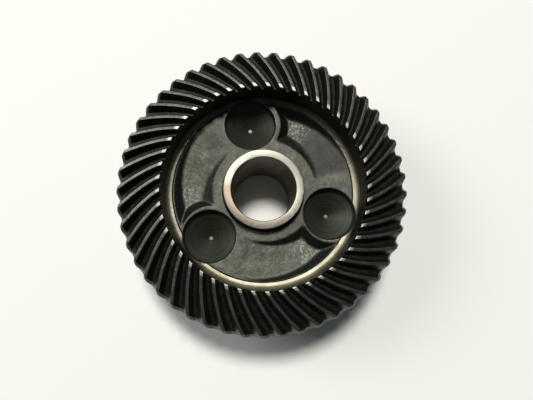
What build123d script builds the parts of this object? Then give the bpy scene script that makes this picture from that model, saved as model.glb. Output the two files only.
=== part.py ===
from build123d import *
import math
import os

# Large spiral bevel crown gear: a toothed, forged wheel with a ground steel
# sleeve pressed into its hub.
# Frame: origin on the bore axis, on the plane of the hub's back end face.
# +Z runs along the bore axis, towards the tooth side.  Millimetres.

# ---- teeth -----------------------------------------------------------------
TEETH = 49                # number of teeth
TOOTH_PHASE = 0.05        # deg, land centre line of tooth 0 at R_REF
R_REF = 26.6              # reference radius of the tooth trace
TRACE_1 = 0.6045          # rad, linear term of the trace (left hand)
TRACE_2 = -0.1359         # rad, quadratic term of the trace
PRESSURE = 20.0           # deg, normal pressure angle
FACE_SLOPE = 13.0         # deg, face cone falls outwards by this angle
ROOT_SLOPE = 17.0         # deg, root cone falls outwards by this angle
Z_FLAT = 27.40            # tooth tops faced flat at the toe, at this height
R_FLAT = 27.07            # outer end of the faced flat, where the face cone starts
LAND_TOE = 0.76           # normal width of the top land at the toe
LAND_HEEL = 0.72          # normal width of the top land at the heel
DEPTH_TOE = 2.00          # tooth depth at the toe, along the axis
R_TOE_TOP = 26.07         # toe end of the tooth tops
R_TOE_WALL = 25.72        # foot of the inner wall, which leans out slightly
R_TIP_HEEL = 36.65        # outer end of the top lands
R_OUT = 37.55             # outside radius of the wheel
HEEL_DROP = 1.62          # drop of the heel bevel, from land end to R_OUT

# ---- web -------------------------------------------------------------------
Z_WEB = 19.15             # web face on the tooth side
R_WALL_FILLET = 1.40      # turned fillet between the web and the inner wall
Z_BACK = 9.20             # web face on the back
Z_RIM_LOW = 17.20         # lower edge of the outer cylinder
R_BACK_FLAT = 29.5        # outer radius of the flat back of the web
R_HUB_BACK = 15.0         # outer radius of the back hub
HUB_CHAMFER = 0.8
HUB_FILLET = 1.8

# ---- lock pin pockets and lead-in ramps ------------------------------------
POCKETS = 3
POCKET_PHASE = 101.0      # deg, first pocket
POCKET_PCR = 18.70        # pitch circle radius of the pockets
POCKET_R = 7.00
POCKET_DEPTH = 5.70       # at the centre
POCKET_POINT = 118.0      # deg, included angle of the drill point
POCKET_MARK_R = 0.55      # small flat left by the drill's web
RAMP_START = 30.0         # deg after the previous pocket's centre
RAMP_END = 100.0          # deg, the cutter runs on past the end wall
RAMP_DEEP_AT = 92.0       # deg, where the ramp is deepest
RAMP_DEPTH = 2.6
RAMP_R_IN = 13.90
RAMP_R_OUT = 24.10
RAMP_DRAFT_IN = 1.10      # horizontal run of the inner wall per mm of depth
RAMP_DRAFT_OUT = 0.70
RAMP_RIM = 0.90           # rim left standing around the next pocket
FORGE_SHIFT = (0.41, 0.19)  # the forged ramps sit this far off the turned features
RAMP_STEPS = 14

# ---- sleeve ----------------------------------------------------------------
BORE_R = 8.50             # spindle bore
SLEEVE_R = 10.60          # press fit in the wheel
SLEEVE_TOP = 22.35
SLEEVE_CHAMFER_OUT = 0.12
SLEEVE_CHAMFER_IN = 0.12
RELIEF_W = 0.45           # relief groove round the sleeve, on the web face
RELIEF_D = 0.90

os.makedirs("parts", exist_ok=True)


def z_face(r):
    """Height of the face cone at radius r."""
    return Z_FLAT - math.tan(math.radians(FACE_SLOPE)) * (r - R_FLAT)


def z_root(r):
    """Height of the bottom of the tooth spaces at radius r."""
    base = z_face(R_TOE_TOP) - DEPTH_TOE
    z = base - math.tan(math.radians(ROOT_SLOPE)) * (r - R_TOE_TOP)
    if r > R_TIP_HEEL:
        z -= (HEEL_DROP / (R_OUT - R_TIP_HEEL)) * (r - R_TIP_HEEL)
    return z


def trace(r):
    """Angle (rad) of the tooth centre line at radius r, and tan of the spiral."""
    x = r / R_REF - 1.0
    th = TRACE_1 * x + TRACE_2 * x * x
    tan_psi = (r / R_REF) * (TRACE_1 + 2.0 * TRACE_2 * x)
    return th, tan_psi


# ---- wheel blank, one revolved section -------------------------------------
zf_heel = z_face(R_TIP_HEEL)
f = R_WALL_FILLET
h = HUB_FILLET
with BuildPart() as blank_b:
    with BuildSketch(Plane.XZ) as sk:
        with BuildLine():
            p = [
                (SLEEVE_R, 0.0),
                (R_HUB_BACK - HUB_CHAMFER, 0.0),
                (R_HUB_BACK, HUB_CHAMFER),
                (R_HUB_BACK, Z_BACK - h),
            ]
            Polyline(*p)
            ThreePointArc(
                (R_HUB_BACK, Z_BACK - h),
                (R_HUB_BACK + h * (1 - math.cos(math.pi / 4)), Z_BACK - h * (1 - math.sin(math.pi / 4))),
                (R_HUB_BACK + h, Z_BACK),
            )
            Polyline(
                (R_HUB_BACK + h, Z_BACK),
                (R_BACK_FLAT, Z_BACK),
                (R_OUT - 0.6, Z_RIM_LOW - 0.7),
                (R_OUT, Z_RIM_LOW),
                (R_OUT, zf_heel - HEEL_DROP),
                (R_TIP_HEEL, zf_heel),
                (R_FLAT, Z_FLAT),
                (R_TOE_TOP, Z_FLAT),
                (R_TOE_WALL, Z_WEB + f),
            )
            ThreePointArc(
                (R_TOE_WALL, Z_WEB + f),
                (R_TOE_WALL - f * (1 - math.cos(math.pi / 4)), Z_WEB + f * (1 - math.sin(math.pi / 4))),
                (R_TOE_WALL - f, Z_WEB),
            )
            Polyline(
                (R_TOE_WALL - f, Z_WEB),
                (SLEEVE_R + RELIEF_W, Z_WEB),
                (SLEEVE_R + RELIEF_W, Z_WEB - RELIEF_D),
                (SLEEVE_R, Z_WEB - RELIEF_D),
                (SLEEVE_R, 0.0),
            )
        make_face()
    revolve(axis=Axis.Z)
blank = blank_b.part


# ---- one tooth space, lofted along the spiral ------------------------------
def space_section(r):
    th, tan_psi = trace(r)
    cos_psi = 1.0 / math.sqrt(1.0 + tan_psi * tan_psi)
    t = min(max((r - R_TOE_TOP) / (R_TIP_HEEL - R_TOE_TOP), 0.0), 1.0)
    land = (LAND_TOE + (LAND_HEEL - LAND_TOE) * t) / cos_psi
    pitch = 2.0 * math.pi * r / TEETH
    run = math.tan(math.radians(PRESSURE)) / cos_psi
    zf, zr = z_face(r), z_root(r)
    zn = z_face(R_TOE_TOP) - DEPTH_TOE - math.tan(math.radians(ROOT_SLOPE)) * (r - R_TOE_TOP)
    over = 0.5
    half_f = 0.5 * (pitch - land)
    half_r = half_f - (zf - zn) * run
    c = 0.22 * min(half_r, 1.0)
    pts = [
        (-half_f - over * run, zf + over),
        (-half_r - c * 0.6, zr + c * 1.7),
        (-half_r + c, zr),
        (half_r - c, zr),
        (half_r + c * 0.6, zr + c * 1.7),
        (half_f + over * run, zf + over),
    ]
    a = math.radians(TOOTH_PHASE) + th + math.pi / TEETH
    pl = Plane(
        origin=(r * math.cos(a), r * math.sin(a), 0.0),
        x_dir=(-math.sin(a), math.cos(a), 0.0),
        z_dir=(-math.cos(a), -math.sin(a), 0.0),
    )
    # the plane's own y axis is z_dir x x_dir, and it must point up
    up = 1.0 if pl.y_dir.Z > 0 else -1.0
    with BuildSketch(pl) as s:
        with BuildLine():
            Polyline(*[(x, up * z) for x, z in pts], close=True)
        make_face()
    return s.sketch.face()


stations = [25.0, 27.0, 29.5, 32.0, 34.5, R_TIP_HEEL, 38.4]
cutter = Solid.make_loft([space_section(r).outer_wire() for r in stations], ruled=True)
cutters = [cutter.rotate(Axis.Z, 360.0 * k / TEETH) for k in range(TEETH)]

# ---- pockets ---------------------------------------------------------------
pocket_tools = []
for k in range(POCKETS):
    a = POCKET_PHASE + 360.0 * k / POCKETS
    with BuildPart() as tool_b:
        with BuildSketch(Plane.XZ):
            with BuildLine():
                zb = Z_WEB - POCKET_DEPTH
                rise = (POCKET_R - POCKET_MARK_R) / math.tan(math.radians(POCKET_POINT / 2))
                Polyline(
                    (0.0, Z_WEB + 3.0),
                    (0.0, zb),
                    (POCKET_MARK_R, zb),
                    (POCKET_R, zb + rise),
                    (POCKET_R, Z_WEB + 3.0),
                    (0.0, Z_WEB + 3.0),
                )
            make_face()
        revolve(axis=Axis.Z)
    tool = tool_b.part.moved(Location((POCKET_PCR, 0, 0))).rotate(Axis.Z, a)
    pocket_tools.append(tool)


# ---- lead-in ramps ---------------------------------------------------------
def ramp_section(angle, depth):
    a = math.radians(angle)
    pl = Plane(origin=(0, 0, 0), x_dir=(math.cos(a), math.sin(a), 0.0), z_dir=(math.sin(a), -math.cos(a), 0.0))
    up = 1.0 if pl.y_dir.Z > 0 else -1.0
    pts = [
        (RAMP_R_IN, Z_WEB + 0.8),
        (RAMP_R_IN, Z_WEB),
        (RAMP_R_IN + RAMP_DRAFT_IN * depth, Z_WEB - depth),
        (RAMP_R_OUT - RAMP_DRAFT_OUT * depth, Z_WEB - depth),
        (RAMP_R_OUT, Z_WEB),
        (RAMP_R_OUT, Z_WEB + 0.8),
    ]
    with BuildSketch(pl) as s:
        with BuildLine():
            Polyline(*[(x, up * z) for x, z in pts], close=True)
        make_face()
    return s.sketch.face().outer_wire()


ramp_tools = []
ramp_wires = []
for i in range(RAMP_STEPS + 1):
    g = RAMP_START + (RAMP_END - RAMP_START) * i / RAMP_STEPS
    d = max(0.02, RAMP_DEPTH * (g - RAMP_START) / (RAMP_DEEP_AT - RAMP_START))
    ramp_wires.append(ramp_section(POCKET_PHASE + g, d))
ramp = Solid.make_loft(ramp_wires, ruled=True)
# the end wall follows the next pocket, with draft, and leaves a thin rim
a = math.radians(POCKET_PHASE + 360.0 / POCKETS)
keep_r = POCKET_R + RAMP_RIM
guard = Solid.make_cone(keep_r + 4.5, keep_r - 1.2, 6.0).moved(
    Location((POCKET_PCR * math.cos(a), POCKET_PCR * math.sin(a), Z_WEB - 4.72))
)
ramp = ramp - guard
if isinstance(ramp, (Compound, ShapeList)) or not isinstance(ramp, Solid):
    ramp = max(ramp.solids(), key=lambda s: s.volume)
for k in range(POCKETS):
    ramp_tools.append(ramp.rotate(Axis.Z, 360.0 * k / POCKETS).moved(Location((*FORGE_SHIFT, 0.0))))

# ---- the two pieces --------------------------------------------------------
wheel = blank - cutters
wheel = wheel - ramp_tools
wheel = wheel - pocket_tools
wheel_solids = wheel.solids()
wheel = max(wheel_solids, key=lambda s: s.volume)

with BuildPart() as sleeve_b:
    with BuildSketch(Plane.XZ):
        with BuildLine():
            ci, co = SLEEVE_CHAMFER_IN, SLEEVE_CHAMFER_OUT
            Polyline(
                (BORE_R + ci, 0.0),
                (SLEEVE_R - co, 0.0),
                (SLEEVE_R, co),
                (SLEEVE_R, SLEEVE_TOP - co),
                (SLEEVE_R - co, SLEEVE_TOP),
                (BORE_R + ci, SLEEVE_TOP),
                (BORE_R, SLEEVE_TOP - ci),
                (BORE_R, ci),
                (BORE_R + ci, 0.0),
            )
        make_face()
    revolve(axis=Axis.Z)
sleeve = sleeve_b.part.solids()[0]

wheel.label = "gear_wheel"
sleeve.label = "hub_sleeve"
export_step(wheel, "parts/gear_wheel.step")
export_step(sleeve, "parts/hub_sleeve.step")
print("wheel", len(wheel_solids), "solid(s)", round(wheel.volume, 1), "mm3", "valid", wheel.is_valid)
print("sleeve", round(sleeve.volume, 1), "mm3", "valid", sleeve.is_valid)
print("box", wheel.bounding_box())
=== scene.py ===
import math
import bpy
import numpy as np
from mathutils import Vector, Matrix
from mathutils.geometry import delaunay_2d_cdt


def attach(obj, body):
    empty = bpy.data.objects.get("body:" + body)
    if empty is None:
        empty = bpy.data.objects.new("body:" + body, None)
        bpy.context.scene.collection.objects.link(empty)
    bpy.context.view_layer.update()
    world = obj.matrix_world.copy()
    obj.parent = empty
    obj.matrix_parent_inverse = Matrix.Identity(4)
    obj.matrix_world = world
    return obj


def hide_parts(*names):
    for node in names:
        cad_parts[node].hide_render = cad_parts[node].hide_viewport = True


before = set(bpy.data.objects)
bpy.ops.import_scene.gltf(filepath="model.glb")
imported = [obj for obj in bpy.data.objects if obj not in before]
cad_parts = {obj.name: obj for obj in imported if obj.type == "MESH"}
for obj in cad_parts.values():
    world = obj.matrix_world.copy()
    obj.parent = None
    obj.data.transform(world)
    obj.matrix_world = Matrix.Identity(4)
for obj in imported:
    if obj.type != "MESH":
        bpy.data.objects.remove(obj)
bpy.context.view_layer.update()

MM = 0.001
rng = np.random.RandomState(7)

# ----------------------------------------------------------------- dimensions
N = 49
PHASE = math.radians(0.05)
R_REF = 26.6
T1, T2 = 0.6045, -0.1359
PRESS = math.tan(math.radians(20.0))
R_FLAT, Z_FLAT = 27.07, 27.40
FACE = math.tan(math.radians(13.0))
ROOT = math.tan(math.radians(17.0))
DEPTH_TOE = 2.0
R_TOE, R_WALL = 26.07, 25.72
FORGE_X, FORGE_Y = 0.41, 0.19     # the forged ramps sit this far off the turned features
R_TIP, R_OUT = 36.65, 37.55
DROP = 1.62
LAND_A, LAND_B = 0.76, 0.72
Z_WEB, FIL = 19.15, 1.40
Z_BACK, Z_LOW, R_BACKFLAT = 9.2, 17.2, 29.5
R_HUB, HUB_CH, HUB_F = 15.0, 0.8, 1.8
PC, PR, PD = 18.7, 7.0, 5.7
P_ANG = [math.radians(101.0 + 120.0 * k) for k in range(3)]
SLEEVE_R, BORE_R, SLEEVE_TOP = 10.6, 8.5, 22.35
RELIEF_W, RELIEF_D = 0.45, 0.9

# materials, one index each on the wheel
M_WEB, M_TOOTH, M_LAND, M_SPOT, M_WALL, M_GOLD, M_POCKET, M_BACK, M_GROOVE, M_LIP = range(10)


# ------------------------------------------------------------- smooth 3D noise
class Noise:
    """Value noise on a lattice, the same each run."""

    def __init__(self, seed):
        self.t = np.random.RandomState(seed).rand(64, 64, 64) * 2 - 1

    def __call__(self, p, scale):
        q = np.asarray(p, float) / scale + 300.0
        i = np.floor(q).astype(int)
        f = q - i
        f = f * f * (3 - 2 * f)
        out = 0
        for dx in (0, 1):
            for dy in (0, 1):
                for dz in (0, 1):
                    w = (f[:, 0] if dx else 1 - f[:, 0]) * (f[:, 1] if dy else 1 - f[:, 1]) * (f[:, 2] if dz else 1 - f[:, 2])
                    out = out + w * self.t[(i[:, 0] + dx) % 64, (i[:, 1] + dy) % 64, (i[:, 2] + dz) % 64]
        return out


noise_a, noise_b = Noise(11), Noise(23)


# ------------------------------------------------------------------ the teeth
def trace(r):
    x = r / R_REF - 1.0
    return T1 * x + T2 * x * x


def cos_psi(r):
    x = r / R_REF - 1.0
    t = (r / R_REF) * (T1 + 2 * T2 * x)
    return 1.0 / math.sqrt(1.0 + t * t)


def heel_drop(r):
    """The rounded bevel at the outer ends of the teeth."""
    if r < 36.52:
        return 0.0
    if r < 36.78:
        return 0.5 * 1.80 * (r - 36.52) ** 2 / 0.26
    d = 0.5 * 1.80 * 0.26 + 1.80 * (r - 36.78)
    if r > 37.42:
        d += 1.2 * (r - 37.42) ** 2 / 0.13
    return d


def z_face(r):
    return Z_FLAT - FACE * (r - R_FLAT)


def bez(a, c, b, ts):
    a, c, b = (np.array(v, float) for v in (a, c, b))
    return [tuple((1 - t) ** 2 * a + 2 * t * (1 - t) * c + t * t * b) for t in ts]


def profile(r):
    """One pitch at radius r: tangential offsets (mm, + is counter-clockwise) and heights, from root centre to the last point before the next root centre."""
    c = cos_psi(r)
    t = min(max((r - R_TOE) / (R_TIP - R_TOE), 0.0), 1.0)
    pitch = 2 * math.pi * r / N
    hl = 0.5 * (LAND_A + (LAND_B - LAND_A) * t) / c
    run = PRESS / c
    zf = z_face(r)
    zr = z_face(R_TOE) - DEPTH_TOE - ROOT * (r - R_TOE)
    depth = zf - zr
    hr = max(0.5 * pitch - hl - depth * run, 0.08)
    run = (0.5 * pitch - hl - hr) / depth
    rf = min(0.42, hr / 0.72)
    n2 = math.hypot(run, 1.0)
    d2 = (run / n2, 1.0 / n2)
    corner = (-(hl + depth * run), zr)
    fa = (corner[0] - 0.70 * rf, zr)
    fb = (corner[0] + d2[0] * 0.70 * rf, corner[1] + d2[1] * 0.70 * rf)
    e = 0.11
    land = (-hl, zf)
    ea = (land[0] - d2[0] * e, land[1] - d2[1] * e)
    eb = (land[0] + e, zf)
    left = [(-0.5 * pitch, zr)]
    left += bez(fa, corner, fb, (0, 1 / 3, 2 / 3, 1))
    for k, w in enumerate((0.25, 0.5, 0.75)):
        bulge = 0.035 * math.sin(math.pi * w)
        left.append((fb[0] + (ea[0] - fb[0]) * w - bulge, fb[1] + (ea[1] - fb[1]) * w + bulge * run))
    left += bez(ea, land, eb, (0, 0.5, 1))
    mid = [(-0.5 * hl, zf), (-0.02, zf), (0.02, zf), (0.5 * hl, zf)]
    right = [(-x, z) for x, z in reversed(left[1:])]
    pts = left + mid + right
    return np.array([p[0] for p in pts]), np.array([p[1] for p in pts]), zf


P = len(profile(30.0)[0])
COLS = N * P
LAND_J = set(range(9, P - 9 + 1))          # column spans on the top land

V, F, FM = [], [], []


def ring(points):
    b = len(V)
    V.extend(points)
    return list(range(b, b + len(points)))


def bridge(a, b, mat):
    """Quads between two closed rings of equal count. mat is an index or a function of the column."""
    n = len(a)
    for i in range(n):
        j = (i + 1) % n
        F.append((a[i], a[j], b[j], b[i]))
        FM.append(mat(i) if callable(mat) else mat)


def merge_bridge(a, b, mat):
    """Joins a ring to one with an exact fraction of its columns."""
    q = len(a) // len(b)
    for i in range(len(b)):
        i2 = (i + 1) % len(b)
        run = [a[(i * q + k) % len(a)] for k in range(q + 1)]
        h = q // 2
        for k in range(q):
            if k < h:
                F.append((run[k], run[k + 1], b[i]))
            else:
                F.append((run[k], run[k + 1], b[i2]))
            FM.append(mat)
        F.append((run[h], b[i2], b[i]))
        FM.append(mat)


def tooth_ring(r, dz=0.0, r_at=None, uniform=0.0, z_uniform=None, zw=0.0, cap=True):
    """A ring of the toothed band. r sets the profile, r_at where its points stand."""
    s, z, zf = profile(min(max(r, R_TOE), R_OUT))
    z = z.copy()
    if cap and r <= R_FLAT + 1e-6:
        top = z_face(r)
        z = np.where(z > Z_FLAT - 0.02, Z_FLAT, z) if r <= R_FLAT else z
        over = top - Z_FLAT
        z = np.where(z > Z_FLAT, Z_FLAT, z)
    z = z - heel_drop(r) + dz
    ra = r if r_at is None else r_at
    pitch = 2 * math.pi / N
    u = s / (0.5 * (2 * math.pi * r / N)) * (pitch / 2)
    uu = (np.arange(P) / P - 0.5) * pitch
    u = u * (1 - uniform) + uu * uniform
    if z_uniform is not None:
        z = z * (1 - zw) + z_uniform * zw
    th0 = PHASE + trace(min(max(r, R_TOE), R_OUT))
    pts = []
    for k in range(N):
        a = th0 + k * pitch + u
        pts.extend(zip((ra * np.cos(a)).tolist(), (ra * np.sin(a)).tolist(), z.tolist()))
    return ring(pts)


def tooth_mat(i):
    return M_LAND if (i % P) in LAND_J and 9 <= (i % P) <= P - 10 else M_TOOTH


stations = [26.17, 26.40, 26.75, 27.05, 27.12, 27.5, 28.1, 28.9, 29.8, 30.8, 31.8, 32.8, 33.8, 34.7, 35.5, 36.2, 36.5,
            36.6, 36.7, 36.8, 37.1, 37.4, 37.48, 37.54]
rows = [tooth_ring(r) for r in stations]
# inner wall, from the tooth ends down to the fillet
w1 = tooth_ring(R_TOE, r_at=26.075, dz=-0.035)
w2 = tooth_ring(R_TOE, r_at=26.03, dz=-0.14)
w3 = tooth_ring(R_TOE, r_at=25.99, z_uniform=25.0, zw=0.45, uniform=0.2)
w4 = tooth_ring(R_TOE, r_at=25.90, z_uniform=24.6, zw=1.0, uniform=0.6)
w5 = tooth_ring(R_TOE, r_at=25.74, z_uniform=22.4, zw=1.0, uniform=1.0)
w6 = tooth_ring(R_TOE, r_at=R_WALL, z_uniform=Z_WEB + FIL, zw=1.0, uniform=1.0)
bridge(rows[0], w1, lambda i: M_SPOT if tooth_mat(i) == M_LAND else M_TOOTH)
bridge(w1, w2, M_WALL)
bridge(w2, w3, M_WALL)
bridge(w3, w4, M_WALL)
bridge(w4, w5, M_WALL)
bridge(w5, w6, M_WALL)
for k in range(len(rows) - 1):
    if stations[k + 1] <= 27.06:
        bridge(rows[k + 1], rows[k], lambda i: M_SPOT if tooth_mat(i) == M_LAND else M_TOOTH)
    elif stations[k] > 36.55:
        bridge(rows[k + 1], rows[k], M_TOOTH)
    else:
        bridge(rows[k + 1], rows[k], tooth_mat)
# heel edge and outer cylinder
h1 = tooth_ring(R_OUT, r_at=37.565, dz=-0.14)
h2 = tooth_ring(R_OUT, r_at=37.57, z_uniform=19.6, zw=0.45, uniform=0.3)
h3 = tooth_ring(R_OUT, r_at=37.57, z_uniform=19.5, zw=1.0, uniform=0.7)
h4 = tooth_ring(R_OUT, r_at=37.56, z_uniform=18.6, zw=1.0, uniform=1.0)
bridge(h1, rows[-1], M_TOOTH)
bridge(h2, h1, M_TOOTH)
bridge(h3, h2, M_BACK)
bridge(h4, h3, M_BACK)
th_back = [math.atan2(V[i][1], V[i][0]) for i in h4]
Q = 5
cols_b = [th_back[i] for i in range(0, COLS, Q)]


def rev_ring(r, z, angs):
    return ring([(r * math.cos(a), r * math.sin(a), z) for a in angs])


b0 = rev_ring(37.55, 17.75, cols_b)
merge_bridge(h4, b0, M_BACK)


def arc(cx, cz, rad, a0, a1, n):
    return [(cx + rad * math.cos(math.radians(a0 + (a1 - a0) * k / n)), cz + rad * math.sin(math.radians(a0 + (a1 - a0) * k / n))) for k in range(n + 1)]


def rounded(pts, rads, n=5):
    """Meridian polyline with its corners rounded."""
    out = [pts[0]]
    for k in range(1, len(pts) - 1):
        p, q, s = (np.array(pts[i], float) for i in (k - 1, k, k + 1))
        rad = rads[k]
        if rad <= 0:
            out.append(tuple(q))
            continue
        d1, d2 = (p - q), (s - q)
        l1, l2 = np.linalg.norm(d1), np.linalg.norm(d2)
        d1, d2 = d1 / l1, d2 / l2
        cut = min(rad, 0.45 * l1, 0.45 * l2)
        out += bez(q + d1 * cut, q, q + d2 * cut, [i / n for i in range(n + 1)])
    out.append(pts[-1])
    return out


def densify(path, step):
    out = [path[0]]
    for a, b in zip(path, path[1:]):
        L = math.hypot(b[0] - a[0], b[1] - a[1])
        m = max(1, int(L / step))
        out += [(a[0] + (b[0] - a[0]) * k / m, a[1] + (b[1] - a[1]) * k / m) for k in range(1, m + 1)]
    return out


back = rounded([(37.55, 17.75), (37.55, Z_LOW), (36.95, 16.5), (R_BACKFLAT, Z_BACK), (R_HUB, Z_BACK), (R_HUB, HUB_CH), (R_HUB - HUB_CH, 0.0), (SLEEVE_R + 0.35, 0.0), (SLEEVE_R, 0.35), (SLEEVE_R, 3.0)],
               [0, 0.3, 0.5, 2.2, 1.8, 0.3, 0.25, 0.1, 0.1, 0])
back = densify(back, 1.6)[1:]
prev = b0
for r, z in back:
    cur = rev_ring(r, z, cols_b)
    bridge(cur, prev, M_BACK)
    prev = cur
back_end = prev

# --------------------------------------------------------------------- the web
K_PAD = 0.55


def smax(a, b, k):
    h = np.clip(0.5 + 0.5 * (a - b) / k, 0, 1)
    return b + (a - b) * h + k * h * (1 - h)


def smin(a, b, k):
    return -smax(-a, -b, k)


PCX = [PC * math.cos(a) for a in P_ANG]
PCY = [PC * math.sin(a) for a in P_ANG]


def web_height(x, y, crisp=True):
    """Height of the web face, with ramps, pockets and the wall fillet."""
    r = np.hypot(x, y)
    th = np.arctan2(y, x)
    pad = np.full_like(r, Z_WEB)
    h = pad.copy()
    for k in range(3):
        xf, yf = x - FORGE_X, y - FORGE_Y
        rf = np.hypot(xf, yf)
        g = np.degrees((np.arctan2(yf, xf) - P_ANG[k]) % (2 * math.pi))
        kn = (k + 1) % 3
        rho_n = np.hypot(xf - PCX[kn], yf - PCY[kn])
        inside = (g > 18) & (g < 118)
        d = 2.6 * (g - 29.0) / 63.0 + 0.10 * np.clip((g - 29.0) / 6.0, 0, 1)
        floor = Z_WEB - np.where(inside, d, -2.0)
        z_in = Z_WEB - (rf - 13.80) / (1.30, 0.85, 1.35)[k]
        z_out = Z_WEB - (24.12 - rf) / 0.85
        z_end = Z_WEB - (rho_n - (PR + 0.88)) / 0.85
        cav = smax(smax(floor, z_in, 0.6), smax(z_out, z_end, 0.8), 0.7)
        cav = np.where(inside, cav, Z_WEB + 2)
        h = smin(h, cav, 0.22)
    # fine undercut line where the turned fillet meets the forging
    h = h - 0.24 * np.exp(-((r - 24.18) / 0.11) ** 2) * np.clip(1 - (Z_WEB - h) / 0.5, 0, 1)
    out = r > R_WALL - FIL
    rr = np.clip(r - (R_WALL - FIL), 0, FIL * 0.99999)
    torus = Z_WEB + FIL - np.sqrt(FIL * FIL - rr * rr)
    h = np.where(out, np.maximum(torus, h), h)
    base = h.copy()
    for k in range(3):
        rho = np.hypot(x - PCX[k], y - PCY[k])
        lip = np.clip((PR + 0.28 - rho) / 0.28, 0, 1)
        h = np.where(rho < PR + 0.28, base - 0.22 * (1 - np.sqrt(np.clip(1 - lip * lip, 0, 1))), h)
        # drilled floor: a 118 degree point with fine rings, and the flat left by the drill's web
        zb = Z_WEB - PD
        fl = zb + np.clip(rho - 0.50, 0, None) / math.tan(math.radians(59.0))
        fl = fl + (0.008 * np.cos(2 * math.pi * rho / 0.71 + k) + 0.006 * np.cos(2 * math.pi * rho / 0.43 + 2 * k)) * np.clip((rho - 0.8) / 0.6, 0, 1) * np.clip((6.7 - rho) / 0.5, 0, 1)
        fl = fl + 0.25 * np.clip((rho - 6.55) / 0.4, 0, 1) ** 2
        h = np.where(rho < PR - 0.005, fl, h)
    return h


pts2, edges2, fixz = [], [], []


def poly(points, closed=True):
    b = len(pts2)
    pts2.extend(points)
    n = len(points)
    for i in range(n if closed else n - 1):
        edges2.append((b + i, b + (i + 1) % n))
    return b, n


outer_xy = [(V[i][0], V[i][1]) for i in w6]
b_out, n_out = poly(outer_xy)
n_in = 360
in_ang = [2 * math.pi * i / n_in for i in range(n_in)]
R_GROOVE = SLEEVE_R + RELIEF_W
b_in, _ = poly([(R_GROOVE * math.cos(a), R_GROOVE * math.sin(a)) for a in in_ang])
for rr in (R_GROOVE + 0.05, R_GROOVE + 0.16, R_GROOVE + 0.35):
    poly([(rr * math.cos(a), rr * math.sin(a)) for a in in_ang])


def clear_of_pockets(x, y, gap):
    return all(math.hypot(x - PCX[k], y - PCY[k]) > PR + gap for k in range(3))


for tdeg in (82, 72, 62, 52, 42, 32, 22, 12, 0):
    rr = R_WALL - FIL + FIL * math.sin(math.radians(tdeg))
    m = 720
    prevp = None
    first = None
    for i in range(m + 1):
        a = 2 * math.pi * i / m
        x, y = rr * math.cos(a), rr * math.sin(a)
        ok = clear_of_pockets(x, y, 0.02)
        if ok:
            if i < m or first is None:
                idx = len(pts2)
                pts2.append((x, y))
            else:
                idx = first
            if i == 0:
                first = idx
            if prevp is not None:
                edges2.append((prevp, idx))
            prevp = idx
        else:
            prevp = None

for rr in (24.29, 24.235, 24.18, 24.125, 24.06, 23.97):
    for i in range(720):
        a = 2 * math.pi * (i + 0.5) / 720
        x, y = rr * math.cos(a), rr * math.sin(a)
        if clear_of_pockets(x, y, 0.32):
            pts2.append((x, y))
for k in range(3):
    for rho, m in ((PR + 0.28, 216), (PR + 0.17, 216), (PR + 0.08, 216), (PR + 0.03, 216), (PR, 216), (PR - 0.06, 216), (PR - 0.075, 216),
                   (PR - 0.14, 200), (PR - 0.26, 200), (PR - 0.40, 180), (PR - 0.56, 180)):
        pl = []
        for i in range(m):
            a = 2 * math.pi * i / m
            x, y = PCX[k] + rho * math.cos(a), PCY[k] + rho * math.sin(a)
            pl.append((x, y) if math.hypot(x, y) < R_WALL - 0.03 and math.hypot(x, y) > R_GROOVE + 0.02 else None)
        run_prev, start = None, None
        idxs = []
        for p in pl:
            if p is None:
                idxs.append(None)
            else:
                idxs.append(len(pts2))
                pts2.append(p)
        for i in range(m):
            if idxs[i] is not None and idxs[(i + 1) % m] is not None:
                edges2.append((idxs[i], idxs[(i + 1) % m]))
    rho = PR - 0.72
    while rho > 0.9:
        m = max(24, int(2 * math.pi * rho / 0.30))
        for i in range(m):
            a = 2 * math.pi * (i + 0.5 * (int(rho * 10) % 2)) / m
            pts2.append((PCX[k] + rho * math.cos(a), PCY[k] + rho * math.sin(a)))
        rho -= 0.155
    for rho, m in ((0.72, 40), (0.60, 36), (0.5, 32), (0.42, 28), (0.25, 16), (0.12, 8)):
        poly([(PCX[k] + rho * math.cos(2 * math.pi * i / m), PCY[k] + rho * math.sin(2 * math.pi * i / m)) for i in range(m)])
    pts2.append((PCX[k], PCY[k]))

STEP = 0.30
ny = int(52 / (STEP * 0.866))
for j in range(ny):
    y = -26 + j * STEP * 0.866
    for i in range(int(52 / STEP)):
        x = -26 + (i + 0.5 * (j % 2)) * STEP
        rr = math.hypot(x, y)
        if R_GROOVE + 0.5 < rr < 23.84 and clear_of_pockets(x, y, 0.42):
            jx, jy = (rng.rand(2) - 0.5) * STEP * 0.35
            pts2.append((x + jx, y + jy))

verts2, _, faces2, orig, _, _ = delaunay_2d_cdt([Vector(p) for p in pts2], edges2, [], 0, 1e-5)
vx = np.array([v.x for v in verts2])
vy = np.array([v.y for v in verts2])
vz = web_height(vx, vy)
# forged skin: soft lumps, on the forged faces only
rr = np.hypot(vx, vy)
rho_min = np.min([np.hypot(vx - PCX[k], vy - PCY[k]) for k in range(3)], axis=0)
p3 = np.stack([vx, vy, vz], 1)
skin = 0.045 * noise_a(p3, 2.3) + 0.040 * noise_b(p3, 0.95) + 0.028 * noise_a(p3 + 50, 0.52)
mask = np.clip((24.05 - rr) / 0.4, 0, 1) * np.clip((rho_min - PR - 0.1) / 0.3, 0, 1) * np.clip((rr - R_GROOVE - 0.1) / 0.3, 0, 1)
vz = vz + skin * mask
index = [-1] * len(verts2)
on_out, on_in = {}, {}
for vi, src in enumerate(orig):
    for s_ in src:
        if b_out <= s_ < b_out + n_out:
            index[vi] = w6[s_ - b_out]
        if b_in <= s_ < b_in + n_in:
            on_in[s_ - b_in] = vi
for vi in range(len(verts2)):
    if index[vi] < 0:
        index[vi] = len(V)
        V.append((float(vx[vi]), float(vy[vi]), float(vz[vi])))
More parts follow.
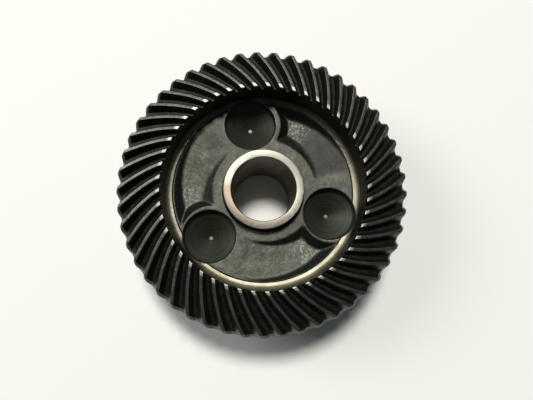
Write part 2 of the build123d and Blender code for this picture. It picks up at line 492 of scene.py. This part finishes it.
ring_in = set(on_in.values())
for f in faces2:
    if all(i in ring_in for i in f):
        continue
    cx = sum(vx[i] for i in f) / 3
    cy = sum(vy[i] for i in f) / 3
    cr = math.hypot(cx, cy)
    if cr < R_GROOVE - 0.002:
        continue
    rho = min(math.hypot(cx - PCX[k], cy - PCY[k]) for k in range(3))
    if rho < PR:
        m = M_POCKET
    elif cr > R_WALL - FIL:
        m = M_GOLD
    elif rho < PR + 0.17:
        m = M_LIP
    else:
        m = M_WEB
    F.append(tuple(index[i] for i in f))
    FM.append(m)
# relief groove round the sleeve, then the sleeve seat down to the back
g_top = [index[on_in[i]] for i in range(n_in)]
prev = g_top
for r, z in densify(rounded([(R_GROOVE, Z_WEB), (R_GROOVE - 0.02, Z_WEB - RELIEF_D), (SLEEVE_R, Z_WEB - RELIEF_D), (SLEEVE_R, Z_WEB - 3.0)], [0, 0.12, 0.05, 0], 3), 0.5)[1:]:
    cur = rev_ring(r, z, in_ang)
    bridge(prev, cur, M_GROOVE)
    prev = cur
# the seat itself, a bridge between rings of different counts, inside the fit
seat_top = prev
na, nb = len(seat_top), len(back_end)
ang_a = in_ang
ang_b = sorted([(a % (2 * math.pi), i) for i, a in enumerate(cols_b)])
bring = [back_end[i] for _, i in ang_b]
bang = [a for a, _ in ang_b]
i = j = 0
while i < na or j < nb:
    ca = ang_a[i] if i < na else 2 * math.pi + ang_a[0]
    cb = bang[j] if j < nb else 2 * math.pi + bang[0]
    va, vb = seat_top[i % na], bring[j % nb]
    if (ca <= cb and i < na) or j >= nb:
        F.append((va, seat_top[(i + 1) % na], vb))
        i += 1
    else:
        F.append((va, bring[(j + 1) % nb], vb))
        j += 1
    FM.append(M_GROOVE)


def make(name, verts, faces, mats, fmats, angle):
    me = bpy.data.meshes.new(name)
    me.from_pydata([(x * MM, y * MM, z * MM) for x, y, z in verts], [], faces)
    for m in mats:
        me.materials.append(m)
    me.polygons.foreach_set("material_index", fmats)
    me.update()
    ob = bpy.data.objects.new(name, me)
    bpy.context.scene.collection.objects.link(ob)
    import bmesh
    bm = bmesh.new()
    bm.from_mesh(me)
    bmesh.ops.remove_doubles(bm, verts=bm.verts, dist=2e-7)
    loose = [v for v in bm.verts if not v.link_faces]
    bmesh.ops.delete(bm, geom=loose, context="VERTS")
    bmesh.ops.recalc_face_normals(bm, faces=bm.faces)
    bad = [e for e in bm.edges if len(e.link_faces) != 2]
    print(name, "verts", len(bm.verts), "faces", len(bm.faces), "open or shared edges", len(bad), "volume mm3", round(bm.calc_volume() * 1e9, 1))
    print(name, "triangles", sum(len(f.verts) - 2 for f in bm.faces))
    bm.to_mesh(me)
    bm.free()
    me.shade_smooth()
    me.set_sharp_from_angle(angle=math.radians(angle))
    return ob



# ------------------------------------------------------------------ materials
def new_mat(name):
    m = bpy.data.materials.new(name)
    m.use_nodes = True
    nt = m.node_tree
    for n in list(nt.nodes):
        nt.nodes.remove(n)
    out = nt.nodes.new("ShaderNodeOutputMaterial")
    bs = nt.nodes.new("ShaderNodeBsdfPrincipled")
    nt.links.new(bs.outputs[0], out.inputs[0])
    return m, nt, bs


class G:
    """Small helper for building node graphs in object space."""

    def __init__(self, nt):
        self.nt = nt
        self.tc = nt.nodes.new("ShaderNodeTexCoord")

    def obj(self):
        return self.tc.outputs["Object"]

    def noise(self, scale, detail=4.0, rough=0.6, vec=None, dist=0.0):
        n = self.nt.nodes.new("ShaderNodeTexNoise")
        n.inputs["Scale"].default_value = scale
        n.inputs["Detail"].default_value = detail
        n.inputs["Roughness"].default_value = rough
        n.inputs["Distortion"].default_value = dist
        self.nt.links.new(vec or self.obj(), n.inputs["Vector"])
        return n.outputs[0]

    def voronoi(self, scale, feature="F1"):
        n = self.nt.nodes.new("ShaderNodeTexVoronoi")
        n.feature = feature
        n.inputs["Scale"].default_value = scale
        self.nt.links.new(self.obj(), n.inputs["Vector"])
        return n.outputs[0]

    def ramp(self, fac, stops, interp="LINEAR"):
        n = self.nt.nodes.new("ShaderNodeValToRGB")
        n.color_ramp.interpolation = interp
        el = n.color_ramp.elements
        while len(el) > 1:
            el.remove(el[-1])
        el[0].position, el[0].color = stops[0][0], (*stops[0][1], 1)
        for pos, col in stops[1:]:
            e = el.new(pos)
            e.color = (*col, 1)
        self.nt.links.new(fac, n.inputs[0])
        return n.outputs[0]

    def mix(self, fac, a, b, mode="MIX"):
        n = self.nt.nodes.new("ShaderNodeMix")
        n.data_type = "RGBA"
        n.blend_type = mode
        for v, sock in ((fac, n.inputs[0]), (a, n.inputs[6]), (b, n.inputs[7])):
            if isinstance(v, (int, float)):
                sock.default_value = v
            elif isinstance(v, tuple):
                sock.default_value = (*v, 1)
            else:
                self.nt.links.new(v, sock)
        return n.outputs[2]

    def math(self, op, a, b=None, clamp=False):
        n = self.nt.nodes.new("ShaderNodeMath")
        n.operation = op
        n.use_clamp = clamp
        for v, sock in ((a, n.inputs[0]), (b, n.inputs[1])):
            if v is None:
                continue
            if isinstance(v, (int, float)):
                sock.default_value = v
            else:
                self.nt.links.new(v, sock)
        return n.outputs[0]

    def maprange(self, v, a, b, c, d):
        n = self.nt.nodes.new("ShaderNodeMapRange")
        self.nt.links.new(v, n.inputs[0])
        for i, x in enumerate((a, b, c, d)):
            n.inputs[i + 1].default_value = x
        return n.outputs[0]

    def bump(self, height, dist, strength=1.0, normal=None):
        n = self.nt.nodes.new("ShaderNodeBump")
        n.inputs["Strength"].default_value = strength
        n.inputs["Distance"].default_value = dist
        self.nt.links.new(height, n.inputs["Height"])
        if normal is not None:
            self.nt.links.new(normal, n.inputs["Normal"])
        return n.outputs[0]

    def radius(self, cx=0.0, cy=0.0):
        """Distance in mm from a vertical axis."""
        sx = self.nt.nodes.new("ShaderNodeSeparateXYZ")
        self.nt.links.new(self.obj(), sx.inputs[0])
        dx = self.math("SUBTRACT", sx.outputs[0], cx * MM)
        dy = self.math("SUBTRACT", sx.outputs[1], cy * MM)
        return self.math("MULTIPLY", self.math("SQRT", self.math("ADD", self.math("MULTIPLY", dx, dx), self.math("MULTIPLY", dy, dy))), 1000.0)

    def axis(self, k):
        sx = self.nt.nodes.new("ShaderNodeSeparateXYZ")
        self.nt.links.new(self.obj(), sx.inputs[0])
        return self.math("MULTIPLY", sx.outputs[k], 1000.0)

    def polar(self, ang_scale=1.0, cx=0.0, cy=0.0):
        """Vector (radius mm, angle x scale, height mm)."""
        sx = self.nt.nodes.new("ShaderNodeSeparateXYZ")
        self.nt.links.new(self.obj(), sx.inputs[0])
        dx = self.math("SUBTRACT", sx.outputs[0], cx * MM)
        dy = self.math("SUBTRACT", sx.outputs[1], cy * MM)
        c = self.nt.nodes.new("ShaderNodeCombineXYZ")
        self.nt.links.new(self.radius(cx, cy), c.inputs[0])
        self.nt.links.new(self.math("MULTIPLY", self.math("ARCTAN2", dy, dx), ang_scale), c.inputs[1])
        self.nt.links.new(self.math("MULTIPLY", sx.outputs[2], 1000.0), c.inputs[2])
        return c.outputs[0]


def link(nt, a, b):
    nt.links.new(a, b)


def metal(name, base, rough, metallic=1.0, spec=0.5):
    m, nt, bs = new_mat(name)
    bs.inputs["Base Color"].default_value = (*base, 1)
    bs.inputs["Roughness"].default_value = rough
    bs.inputs["Metallic"].default_value = metallic
    bs.inputs["Specular IOR Level"].default_value = spec
    return m, nt, bs


def forged(name, lo, mid, hi, rough_lo, rough_hi, metallic, grain=1.0):
    """Blackened forging: fine grain and blotches, with a bumped skin."""
    m, nt, bs = metal(name, mid, 0.6, metallic)
    g = G(nt)
    blotch = g.noise(330.0, 4, 0.65)
    fine = g.noise(1900.0, 4, 0.72)
    col = g.ramp(g.math("ADD", g.math("MULTIPLY", blotch, 0.45), g.math("MULTIPLY", fine, 0.55)), [(0.36, lo), (0.5, mid), (0.64, hi)])
    link(nt, col, bs.inputs["Base Color"])
    link(nt, g.maprange(fine, 0.3, 0.7, rough_lo, rough_hi), bs.inputs["Roughness"])
    h = g.math("ADD", g.math("MULTIPLY", g.noise(1050.0, 3, 0.6), 0.6), g.math("MULTIPLY", fine, 0.4))
    link(nt, g.bump(h, 0.00016 * grain, 1.0), bs.inputs["Normal"])
    return m


def web_shade(nt, bs):
    """Forging scale on the web, with painted light and shade: the steep walls of the ramps painted near black (painted
    shade over their black scale), the ramp floors painted darker towards +X+Y and lighter towards -X-Y as they deepen,
    polished at the deep end of each ramp.
    """
    g = G(nt)
    src = bs.inputs["Base Color"].links[0].from_socket
    sn = nt.nodes.new("ShaderNodeSeparateXYZ")
    link(nt, g.tc.outputs["Normal"], sn.inputs[0])
    # painted shade: the steep faces, the ramp walls, are darkened towards black
    wall_painted_shade = g.maprange(sn.outputs[2], 0.76, 0.975, 0.05, 1.0)
    sx = nt.nodes.new("ShaderNodeSeparateXYZ")
    link(nt, g.obj(), sx.inputs[0])
    # painted light and shade on the ramp floors: darker towards +X+Y, lighter towards -X-Y, growing with depth
    floor_side_light = g.maprange(g.math("ADD", sx.outputs[0], sx.outputs[1]), 0.012, -0.006, 0.30, 1.15)
    deep = g.maprange(sx.outputs[2], 0.01905, 0.01875, 0.0, 1.0)
    floor_painted_light = g.math("ADD", g.math("MULTIPLY", g.math("SUBTRACT", floor_side_light, 0.95), deep), 0.95)
    fac = g.math("MULTIPLY", floor_painted_light, wall_painted_shade)
    col = g.mix(1.0, src, fac, "MULTIPLY")
    # rubbed bright specks on the floor of the deep end
    end = g.math("MULTIPLY", g.maprange(sx.outputs[2], 0.01745, 0.01685, 0.0, 1.0), g.maprange(sn.outputs[2], 0.93, 0.98, 0.0, 1.0))
    specks = g.maprange(g.noise(1500.0, 3, 0.65), 0.50, 0.64, 0.10, 1.0)
    col = g.mix(g.math("MULTIPLY", g.math("MULTIPLY", end, specks), 0.8), col, (0.40, 0.41, 0.36))
    link(nt, col, bs.inputs["Base Color"])


mat_web = forged("forged_web", (0.040, 0.041, 0.030), (0.088, 0.090, 0.070), (0.17, 0.172, 0.140), 0.50, 0.68, 0.35)
web_shade(mat_web.node_tree, [n for n in mat_web.node_tree.nodes if n.type == "BSDF_PRINCIPLED"][0])
mat_tooth = forged("tooth_flank", (0.012, 0.0125, 0.008), (0.024, 0.025, 0.018), (0.046, 0.048, 0.036), 0.38, 0.55, 0.8, 0.6)
mat_land = forged("tooth_land", (0.085, 0.088, 0.078), (0.135, 0.140, 0.128), (0.20, 0.205, 0.188), 0.36, 0.46, 1.0, 0.5)
mat_wall = forged("rim_wall", (0.012, 0.012, 0.008), (0.026, 0.026, 0.019), (0.05, 0.05, 0.038), 0.38, 0.52, 0.85, 0.5)
mat_back = forged("wheel_back", (0.035, 0.032, 0.028), (0.07, 0.065, 0.057), (0.13, 0.12, 0.105), 0.42, 0.6, 0.8)
mat_lip = forged("pocket_lip", (0.12, 0.113, 0.10), (0.2, 0.19, 0.17), (0.32, 0.30, 0.27), 0.32, 0.45, 0.9, 0.4)
mat_groove = forged("relief_groove", (0.006, 0.006, 0.005), (0.013, 0.012, 0.010), (0.03, 0.027, 0.022), 0.5, 0.7, 0.6)

# faced flat at the toe end of each tooth: bright cut steel
mat_spot, nt, bs = metal("toe_flat", (0.5, 0.5, 0.47), 0.44, 1.0)
g = G(nt)
link(nt, g.ramp(g.noise(1500.0, 3, 0.6), [(0.25, (0.11, 0.105, 0.095)), (0.6, (0.24, 0.235, 0.215))]), bs.inputs["Base Color"])

# turned fillet round the web: straw-coloured, satin
def round_axis(g, deg, order):
    """0.5 + 0.5 cos(order * (angle - deg)) about the gear's axis."""
    sx = g.nt.nodes.new("ShaderNodeSeparateXYZ")
    link(g.nt, g.obj(), sx.inputs[0])
    a = g.math("ARCTAN2", sx.outputs[1], sx.outputs[0])
    a = g.math("MULTIPLY", g.math("SUBTRACT", a, math.radians(deg)), float(order))
    return g.math("ADD", g.math("MULTIPLY", g.math("COSINE", a), 0.5), 0.5)


mat_gold, nt, bs = metal("turned_fillet", (0.34, 0.29, 0.19), 0.52, 1.0)
g = G(nt)
lines = g.noise(1.0, 3, 0.6, vec=g.polar(0.7))
lines2 = g.math("SINE", g.math("MULTIPLY", g.radius(), 42.0))
col = g.ramp(g.noise(180.0, 4, 0.6), [(0.3, (0.30, 0.275, 0.19)), (0.5, (0.46, 0.43, 0.32)), (0.7, (0.62, 0.585, 0.46))])
# painted shade: darker towards +Y, where the rim wall shades the fillet, brightest towards -Y
fillet_painted_shade = g.math("ADD", g.math("MULTIPLY", round_axis(g, 270, 1), 0.80), 0.20)
col = g.mix(1.0, col, fillet_painted_shade, "MULTIPLY")
link(nt, col, bs.inputs["Base Color"])
link(nt, g.bump(lines2, 0.000012, 0.6), bs.inputs["Normal"])

# pockets: turned, blued floors
mat_pocket, nt, bs = metal("turned_pocket", (0.06, 0.062, 0.054), 0.5, 0.8)
g = G(nt)
mins = None
for k in range(3):
    r_ = g.radius(PCX[k], PCY[k])
    mins = r_ if mins is None else g.math("MINIMUM", mins, r_)
c = nt.nodes.new("ShaderNodeCombineXYZ")
link(nt, mins, c.inputs[0])
tn = nt.nodes.new("ShaderNodeTexNoise")
tn.inputs["Scale"].default_value = 3.2
tn.inputs["Detail"].default_value = 5
tn.inputs["Roughness"].default_value = 0.75
link(nt, c.outputs[0], tn.inputs["Vector"])
col = g.ramp(tn.outputs[0], [(0.32, (0.026, 0.028, 0.019)), (0.5, (0.050, 0.053, 0.039)), (0.68, (0.086, 0.092, 0.070))])
# painted highlight: the drill's centre flat in each pocket is painted lighter
centre_painted_highlight = g.maprange(mins, 0.42, 0.62, 1.0, 0.0)
col = g.mix(centre_painted_highlight, col, (0.13, 0.13, 0.105))
link(nt, col, bs.inputs["Base Color"])
link(nt, g.maprange(tn.outputs[0], 0.3, 0.7, 0.42, 0.56), bs.inputs["Roughness"])
link(nt, g.bump(tn.outputs[0], 0.00003, 0.7), bs.inputs["Normal"])

wheel = make("gear_body", V, F, [mat_web, mat_tooth, mat_land, mat_spot, mat_wall, mat_gold, mat_pocket, mat_back, mat_groove, mat_lip], FM, 32)
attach(wheel, "root")
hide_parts("gear_wheel")

# -------------------------------------------------------------- the hub sleeve
M_FACE, M_SIDE, M_BORE = range(3)
V2, F2, FM2 = [], [], []
V_keep, F_keep, FM_keep = V, F, FM
V, F, FM = V2, F2, FM2
SA = [2 * math.pi * i / 256 for i in range(256)]
sec = rounded([(BORE_R, 11.0), (BORE_R, SLEEVE_TOP - 0.18), (BORE_R + 0.18, SLEEVE_TOP), (SLEEVE_R - 0.12, SLEEVE_TOP), (SLEEVE_R - 0.005, SLEEVE_TOP - 0.12), (SLEEVE_R - 0.005, 0.12), (SLEEVE_R - 0.12, 0.0),
               (BORE_R + 0.12, 0.0), (BORE_R, 0.12), (BORE_R, 11.0)], [0, 0.05, 0.05, 0.05, 0.05, 0.05, 0.05, 0.05, 0.05, 0], 4)
sec = densify(sec, 0.8)[:-1]
loops = [rev_ring(r, z, SA) for r, z in sec]
for k in range(len(loops)):
    a, b = sec[k], sec[(k + 1) % len(sec)]
    zm, rm = (a[1] + b[1]) / 2, (a[0] + b[0]) / 2
    mt = M_FACE if (zm > SLEEVE_TOP - 0.05 or zm < 0.05) else (M_BORE if rm < BORE_R + 0.5 else M_SIDE)
    bridge(loops[k], loops[(k + 1) % len(loops)], mt)

mat_face, nt, bs = metal("ground_face", (0.62, 0.61, 0.58), 0.3, 1.0)
bs.inputs["Anisotropic"].default_value = 0.5
tan = nt.nodes.new("ShaderNodeTangent")
tan.direction_type, tan.axis = "RADIAL", "Z"
link(nt, tan.outputs[0], bs.inputs["Tangent"])
g = G(nt)
stain = g.noise(150.0, 5, 0.62, dist=0.6)
fine = g.noise(900.0, 4, 0.7)
base = g.ramp(fine, [(0.3, (0.20, 0.198, 0.170)), (0.7, (0.38, 0.376, 0.330))])
brown = g.ramp(stain, [(0.40, (0.0, 0.0, 0.0)), (0.60, (1.0, 1.0, 1.0))])
# painted highlight: two opposite bright quarters, at 135 and 315 degrees, stand in for the ground face's sheen
painted_sheen = g.math("ADD", g.math("MULTIPLY", round_axis(g, 135, 2), 0.75), 0.36)
base = g.mix(1.0, base, painted_sheen, "MULTIPLY")
# handling stains, heaviest on the left side
left = g.math("ADD", g.math("MULTIPLY", round_axis(g, 205, 1), 0.75), 0.12)
col = g.mix(g.math("MULTIPLY", brown, left), base, (0.15, 0.11, 0.082))
specks = g.maprange(g.noise(1300.0, 2, 0.5), 0.68, 0.74, 0.0, 0.8)
col = g.mix(specks, col, (0.05, 0.04, 0.03))
link(nt, col, bs.inputs["Base Color"])
link(nt, g.maprange(fine, 0.3, 0.7, 0.34, 0.48), bs.inputs["Roughness"])
rings_h = g.noise(1.0, 2, 0.5, vec=g.polar(0.15))
link(nt, g.bump(g.noise(14.0, 4, 0.7, vec=g.polar(0.3)), 0.00002, 0.5), bs.inputs["Normal"])
mat_side = forged("sleeve_side", (0.05, 0.046, 0.04), (0.10, 0.094, 0.082), (0.2, 0.19, 0.165), 0.35, 0.5, 0.9, 0.4)
mat_bore, nt, bs = metal("bore_wall", (0.2, 0.19, 0.16), 0.42, 1.0)
g = G(nt)
link(nt, g.ramp(g.noise(300.0, 4, 0.6), [(0.3, (0.13, 0.12, 0.095)), (0.7, (0.26, 0.245, 0.205))]), bs.inputs["Base Color"])
link(nt, g.bump(g.noise(9.0, 4, 0.7, vec=g.polar(0.3)), 0.00003, 0.5), bs.inputs["Normal"])
sleeve = make("sleeve_ring", V2, F2, [mat_face, mat_side, mat_bore], FM2, 32)
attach(sleeve, "root")
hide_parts("hub_sleeve")

# ---------------------------------------------------------------- floor, light
bpy.ops.mesh.primitive_plane_add(size=3.0, location=(0, 0, 0))
floor = bpy.context.object
floor.name = "floor"
mf, nt, bs = new_mat("pale_floor")
bs.inputs["Base Color"].default_value = (0.86, 0.855, 0.83, 1)
bs.inputs["Roughness"].default_value = 0.9
floor.data.materials.append(mf)

world = bpy.data.worlds.new("studio")
bpy.context.scene.world = world
world.use_nodes = True
wn = world.node_tree
wbg = wn.nodes["Background"]
wtc = wn.nodes.new("ShaderNodeTexCoord")
wsx = wn.nodes.new("ShaderNodeSeparateXYZ")
wrm = wn.nodes.new("ShaderNodeValToRGB")
wn.links.new(wtc.outputs["Generated"], wsx.inputs[0])
wn.links.new(wsx.outputs[2], wrm.inputs[0])
wn.links.new(wrm.outputs[0], wbg.inputs[0])
wrm.color_ramp.elements[0].position, wrm.color_ramp.elements[0].color = 0.0, (0.105, 0.125, 0.130, 1)
wrm.color_ramp.elements[1].position, wrm.color_ramp.elements[1].color = 0.85, (0.050, 0.058, 0.061, 1)
wbg.inputs[1].default_value = 1.0


def area(name, loc, target, size, power, color=(1, 1, 1), size_y=None):
    d = bpy.data.lights.new(name, "AREA")
    d.shape = "RECTANGLE"
    d.size = size
    d.size_y = size_y or size
    d.energy = power
    d.color = color
    o = bpy.data.objects.new(name, d)
    bpy.context.scene.collection.objects.link(o)
    o.location = loc
    o.rotation_mode = "QUATERNION"
    o.rotation_quaternion = (Vector(target) - Vector(loc)).to_track_quat("-Z", "Y")
    return o


def toward(az, zen, d):
    """A place at distance d, az degrees round from +X and zen degrees down from overhead."""
    a, z = math.radians(az), math.radians(zen)
    return (d * math.sin(z) * math.cos(a), d * math.sin(z) * math.sin(a), d * math.cos(z))


area("key", toward(97, 23, 1.9), (0, 0, 0.01), 0.34, 33.0, (1.0, 0.985, 0.93))
area("side", toward(160, 52, 1.4), (0, 0, 0.015), 0.60, 6.8, (1.0, 0.99, 0.97))
bpy.context.scene.view_settings.view_transform = "Standard"

# --------------------------------------------------------------------- camera
cam_d = bpy.data.cameras.new("camera")
cam = bpy.data.objects.new("camera", cam_d)
bpy.context.scene.collection.objects.link(cam)
cam_d.sensor_width = 36.0
cam_d.lens = 29.01
cam_d.clip_start, cam_d.clip_end = 0.005, 10.0
right = Vector((0.99884, 0.0, 0.04808))
up = Vector((-0.00778, 0.98684, 0.16151))
fwd = Vector((0.04745, 0.16170, -0.98570))
m = Matrix(((right.x, up.x, -fwd.x, -0.00460), (right.y, up.y, -fwd.y, -0.02106), (right.z, up.z, -fwd.z, 0.1323), (0, 0, 0, 1)))
cam.matrix_world = m
bpy.context.scene.camera = cam
